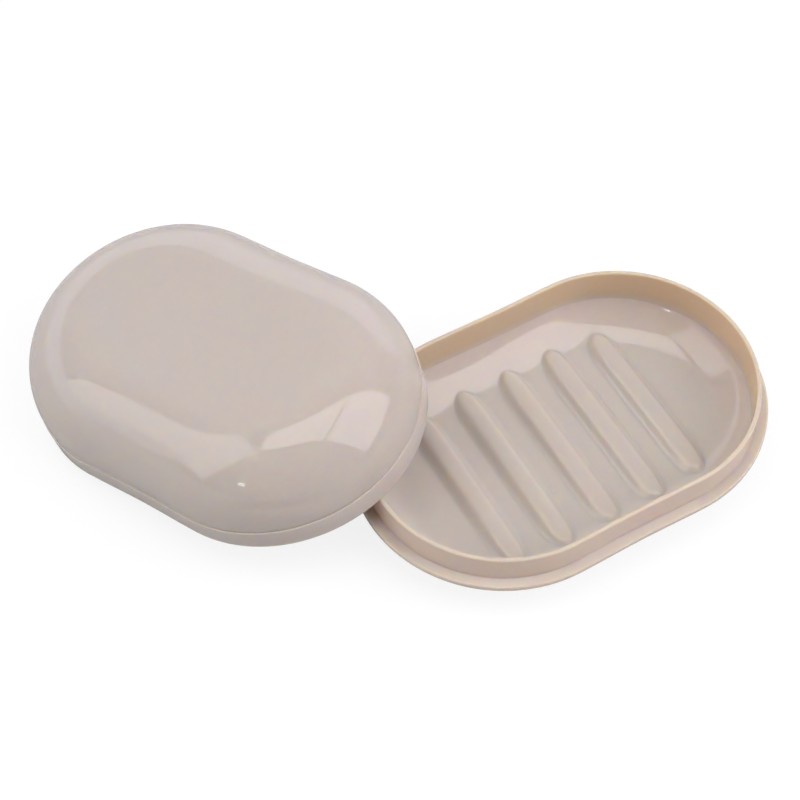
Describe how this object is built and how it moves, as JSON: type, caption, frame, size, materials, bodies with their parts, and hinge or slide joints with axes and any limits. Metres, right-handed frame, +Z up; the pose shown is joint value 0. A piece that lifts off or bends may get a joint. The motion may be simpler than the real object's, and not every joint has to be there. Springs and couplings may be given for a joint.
{
  "type": "travel soap box",
  "caption": "Oval soap box for travel: a dish with drain ribs, a ledge and an upright lip, and a deep domed lid taken off and leaning on the dish.",
  "frame": {"origin": "middle of the dish's underside, on the table", "axes": "+X along the dish, away from the lid; +Y across the dish, towards the side the lid lies on; +Z up"},
  "size_m": [0.1812, 0.1537, 0.05],
  "materials": {
    "plastic": "glossy moulded plastic, slightly translucent, warm pale beige"
  },
  "bodies": {
    "base": {"base": "plastic"},
    "lid": {"lid": "plastic"}
  },
  "joints": [
    {"name": "lid_lift", "type": "slide", "parent": "base", "child": "lid", "axis": [0, 0, 1], "range_m": [0, 0.06]}
  ]
}
